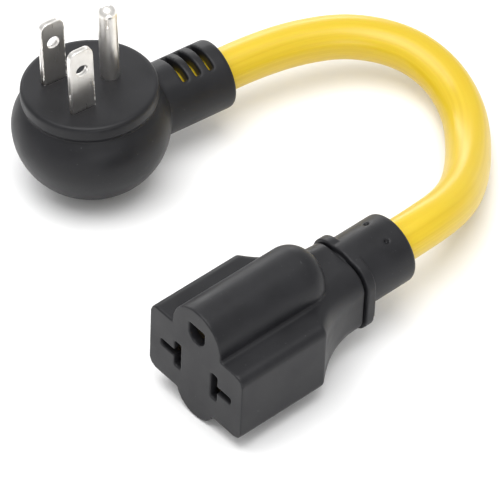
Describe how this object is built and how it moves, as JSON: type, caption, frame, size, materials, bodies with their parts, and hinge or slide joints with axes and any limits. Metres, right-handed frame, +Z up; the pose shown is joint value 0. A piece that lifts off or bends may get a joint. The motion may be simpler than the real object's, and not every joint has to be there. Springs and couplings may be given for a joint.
{
  "type": "power adapter dogbone",
  "caption": "Short heavy adapter cord with a round right-angle plug at one end and a straight three-hole connector with T-shaped slots at the other.",
  "frame": {"origin": "on the floor, under the middle of the plug and connector together", "axes": "+X from the connector's face towards its cord end, +Y from the connector to the plug, +Z up along the plug's pins"},
  "size_m": [0.1216, 0.1158, 0.0504],
  "materials": {
    "moulding": "satin",
    "inner_plastic": "matte",
    "jacket": "gloss",
    "filler": "matte",
    "copper": "bare copper",
    "black_insulation": "gloss",
    "white_insulation": "gloss",
    "green_insulation": "gloss",
    "plated_brass": "nickel plated, satin",
    "contact_brass": "bare brass"
  },
  "bodies": {
    "root": {"cord_jacket": "jacket", "cord_fillers": "filler", "line_conductor": "copper", "neutral_conductor": "copper", "ground_conductor": "copper", "line_insulation": "black_insulation", "neutral_insulation": "white_insulation", "ground_insulation": "green_insulation", "plug_line_blade": "plated_brass", "plug_neutral_blade": "plated_brass", "plug_ground_pin": "plated_brass", "plug_inner_block": "inner_plastic", "plug_body": "moulding", "line_contact": "contact_brass", "neutral_contact": "contact_brass", "ground_contact": "contact_brass", "contact_carrier": "moulding", "carrier_cap": "inner_plastic", "connector_body": "moulding", "connector_sleeve": "moulding"}
  },
  "joints": []
}
